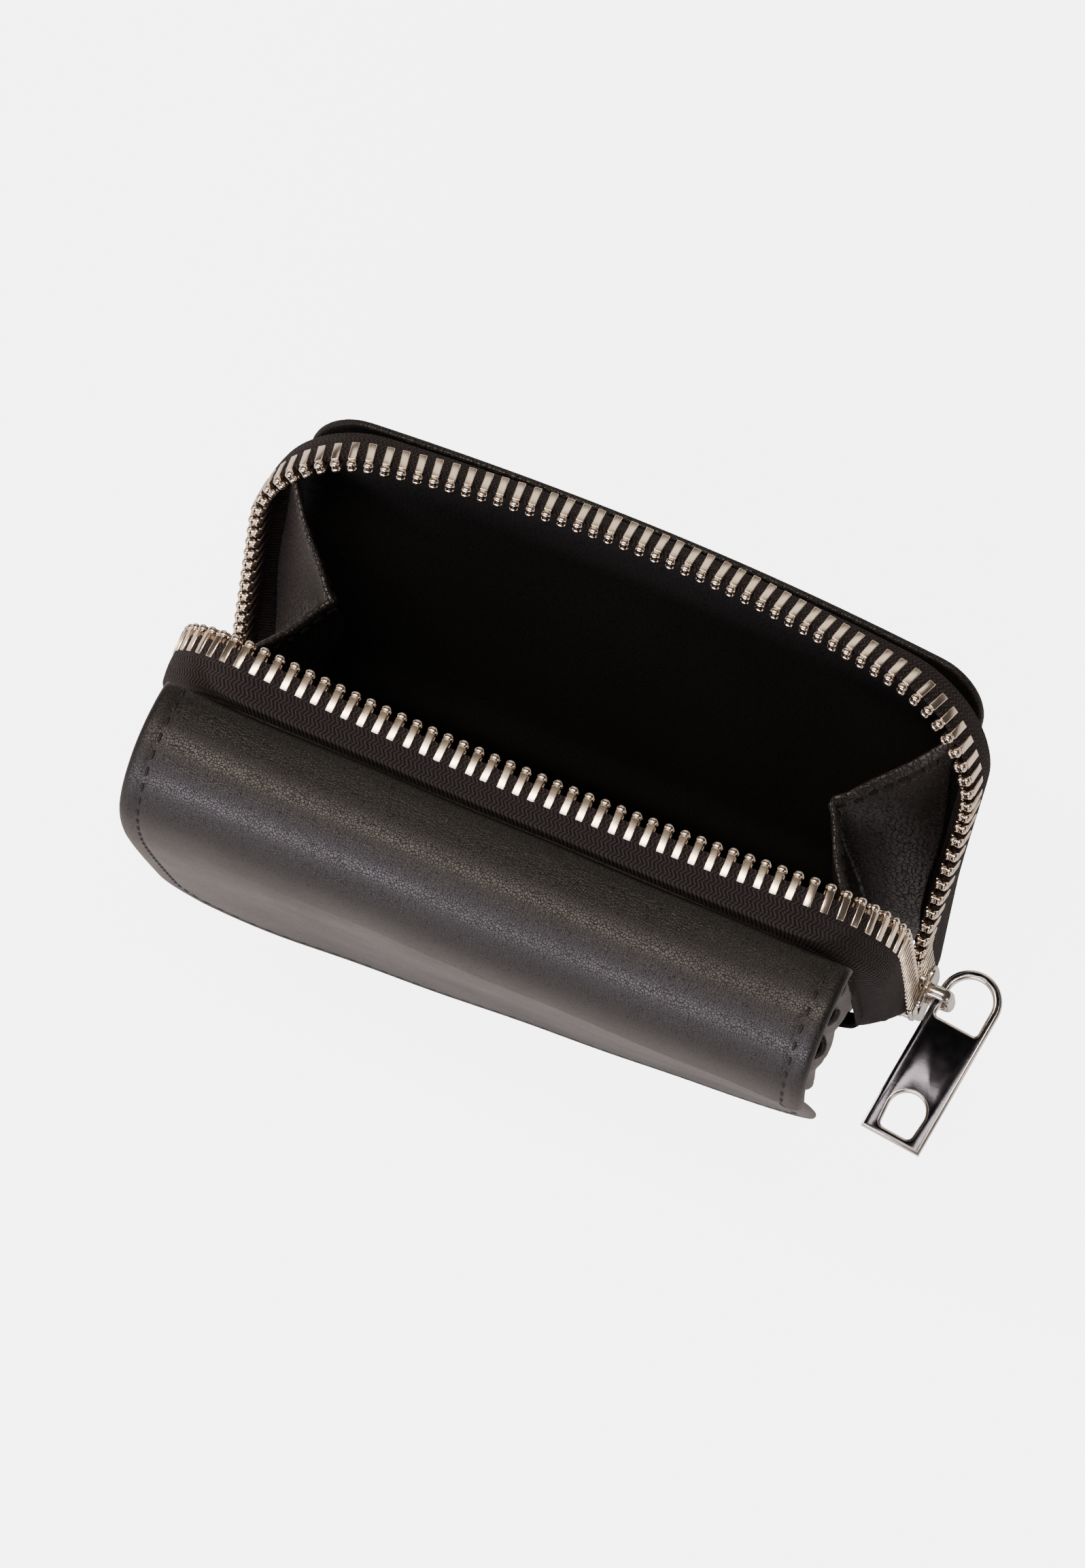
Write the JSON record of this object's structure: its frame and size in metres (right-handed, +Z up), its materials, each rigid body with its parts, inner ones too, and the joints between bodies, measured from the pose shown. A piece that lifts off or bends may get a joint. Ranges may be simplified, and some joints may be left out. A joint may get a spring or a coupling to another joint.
{
  "type": "coin purse",
  "caption": "Compact leather wallet with a zip-around coin pocket standing open behind a flap-covered card section.",
  "frame": {"origin": "centre of the coin pocket's base, on the surface it stands on, in the plane of the front row of zip teeth", "axes": "+X across the width towards the parked slider, +Y from the flap towards the rear wall, +Z up"},
  "size_m": [0.122, 0.0657, 0.0792],
  "materials": {
    "leather": "smooth grained, black",
    "gusset": "fine pebbled, black",
    "lining": "matt black lining",
    "tape": "woven zip tape",
    "nickel": "polished nickel",
    "board": "stiffener board"
  },
  "bodies": {
    "wallet": {"divider_panel": "leather", "divider_board": "board", "divider_lining": "lining", "base_wrap": "leather", "base_lining": "lining", "card_base": "leather", "front_zip_tape": "tape", "front_zip_teeth": "nickel", "front_top_stop": "nickel", "bottom_stop": "nickel", "left_gusset_front_leaf": "gusset", "right_gusset_front_leaf": "gusset", "card_backing": "leather", "card_pocket_1": "leather", "card_pocket_2": "leather", "card_pocket_3": "leather", "note_pocket_front": "leather", "left_bellows": "gusset", "right_bellows": "gusset", "snap_stud": "nickel", "snap_stud_back": "nickel"},
    "flap": {"flap_leather": "leather", "flap_lining": "lining", "snap_socket": "nickel"},
    "rear": {"rear_panel": "leather", "rear_board": "board", "rear_lining": "lining", "rear_zip_tape": "tape", "rear_zip_teeth": "nickel", "rear_top_stop": "nickel", "left_gusset_rear_leaf": "gusset", "right_gusset_rear_leaf": "gusset"},
    "slider": {"slider_body": "nickel", "slider_bail": "nickel"},
    "pull_tab": {"puller": "nickel"}
  },
  "joints": [
    {"name": "pocket_hinge", "type": "hinge", "parent": "wallet", "child": "rear", "pos_m": [0, 0, 0.024], "axis": [1, 0, 0], "range_deg": [-12, 27]},
    {"name": "flap_hinge", "type": "hinge", "parent": "wallet", "child": "flap", "pos_m": [0, -0.0093, 0.0792], "axis": [-1, 0, 0], "range_deg": [0, 110]},
    {"name": "zip_slide", "type": "slide", "parent": "wallet", "child": "slider", "axis": [0, 0, 1], "range_m": [0, 0.028]},
    {"name": "puller_hinge", "type": "hinge", "parent": "slider", "child": "pull_tab", "pos_m": [0.05807, 0, 0.0304], "axis": [0.1045, 0.9945, 0], "range_deg": [-70, 70]}
  ]
}
